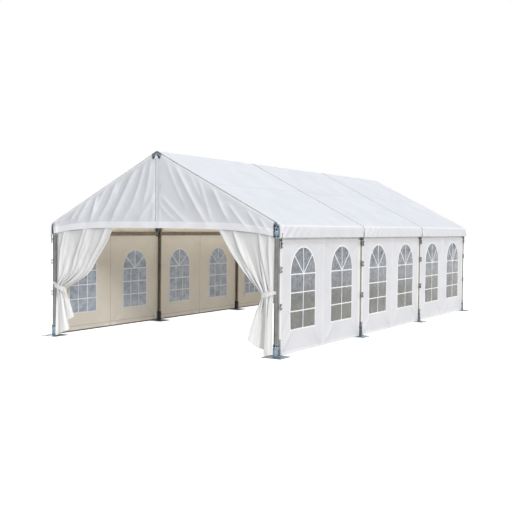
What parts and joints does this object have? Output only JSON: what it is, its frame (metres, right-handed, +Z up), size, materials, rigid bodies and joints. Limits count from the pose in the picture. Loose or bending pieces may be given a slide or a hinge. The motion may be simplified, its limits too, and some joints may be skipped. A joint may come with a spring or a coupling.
{
  "type": "marquee tent",
  "caption": "Clear-span marquee tent: aluminium portal frames on base plates, gabled white fabric roof, side walls with arched clear windows, and an open gable with tied-back curtains.",
  "frame": {"origin": "on the ground at the middle of the plan", "axes": "+Z up; Y along the tent's length, with the open front gable at -Y; +X across the span, to the right seen from the front"},
  "size_m": [6.46, 12.46, 4.214],
  "materials": {
    "aluminium": "mill finish extrusion, satin",
    "galvanised_steel": "hot-dip galvanised, dull blue-grey",
    "roof_fabric": "white coated fabric, slight sheen",
    "wall_fabric": "white coated fabric, slight sheen",
    "curtain_fabric": "white coated fabric, softer and creased",
    "clear_film": "clear flexible film, slightly rippled"
  },
  "bodies": {
    "root": {"post_left_1": "aluminium", "post_left_2": "aluminium", "post_left_3": "aluminium", "post_left_4": "aluminium", "foot_left_1": "galvanised_steel", "foot_left_2": "galvanised_steel", "foot_left_3": "galvanised_steel", "foot_left_4": "galvanised_steel", "post_right_1": "aluminium", "post_right_2": "aluminium", "post_right_3": "aluminium", "post_right_4": "aluminium", "foot_right_1": "galvanised_steel", "foot_right_2": "galvanised_steel", "foot_right_3": "galvanised_steel", "foot_right_4": "galvanised_steel", "portal_1": "aluminium", "portal_2": "aluminium", "portal_3": "aluminium", "portal_4": "aluminium", "eave_purlin_left_1": "aluminium", "eave_purlin_left_2": "aluminium", "eave_purlin_left_3": "aluminium", "eave_purlin_right_1": "aluminium", "eave_purlin_right_2": "aluminium", "eave_purlin_right_3": "aluminium", "ridge_purlin_1": "aluminium", "ridge_purlin_2": "aluminium", "ridge_purlin_3": "aluminium", "roof_cover_1": "roof_fabric", "roof_cover_2": "roof_fabric", "roof_cover_3": "roof_fabric", "wall_left_1": "wall_fabric", "wall_left_2": "wall_fabric", "wall_left_3": "wall_fabric", "window_film_left_1": "clear_film", "window_film_left_2": "clear_film", "window_film_left_3": "clear_film", "wall_right_1": "wall_fabric", "wall_right_2": "wall_fabric", "wall_right_3": "wall_fabric", "window_film_right_1": "clear_film", "window_film_right_2": "clear_film", "window_film_right_3": "clear_film", "gable_front": "roof_fabric", "gable_rear": "roof_fabric", "curtain_front_left": "curtain_fabric", "tie_front_left": "curtain_fabric", "end_wall_left": "curtain_fabric", "curtain_front_right": "curtain_fabric", "tie_front_right": "curtain_fabric", "end_wall_right": "curtain_fabric"}
  },
  "joints": []
}
